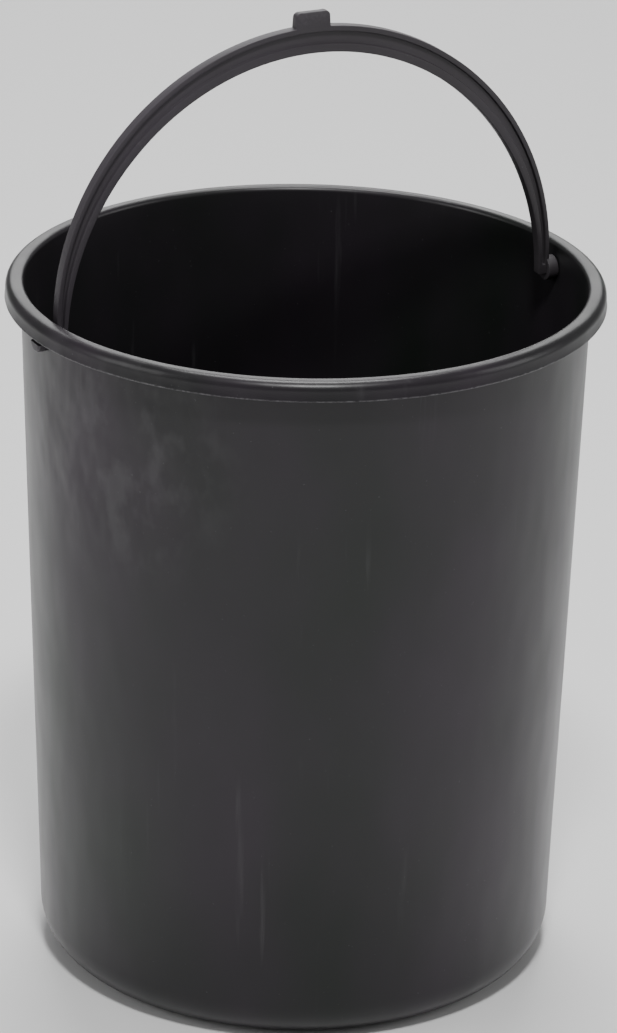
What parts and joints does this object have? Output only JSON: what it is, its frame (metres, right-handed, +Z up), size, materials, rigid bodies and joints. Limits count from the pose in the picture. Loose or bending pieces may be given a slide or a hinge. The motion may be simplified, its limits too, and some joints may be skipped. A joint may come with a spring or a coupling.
{
  "type": "feed bucket",
  "caption": "Tapered round plastic feed bucket with a rolled rim and a swinging bail handle that snaps into holes in the wall and carries a thumb tab.",
  "frame": {"origin": "centre of the base plane, on the surface the bucket stands on", "axes": "+Z up along the bucket's axis, hinge axis of the handle along X, handle upright in the XZ plane"},
  "size_m": [0.2608, 0.2608, 0.4333],
  "materials": {
    "bucket_plastic": "satin black moulded polypropylene, lightly scuffed",
    "handle_plastic": "satin black moulded polypropylene"
  },
  "bodies": {
    "bucket_body": {"bucket": "bucket_plastic"},
    "handle_body": {"handle": "handle_plastic"}
  },
  "joints": [
    {"name": "handle_swing", "type": "hinge", "parent": "bucket_body", "child": "handle_body", "pos_m": [0, 0, 0.3023], "axis": [1, 0, 0], "range_deg": [-81, 81]}
  ]
}
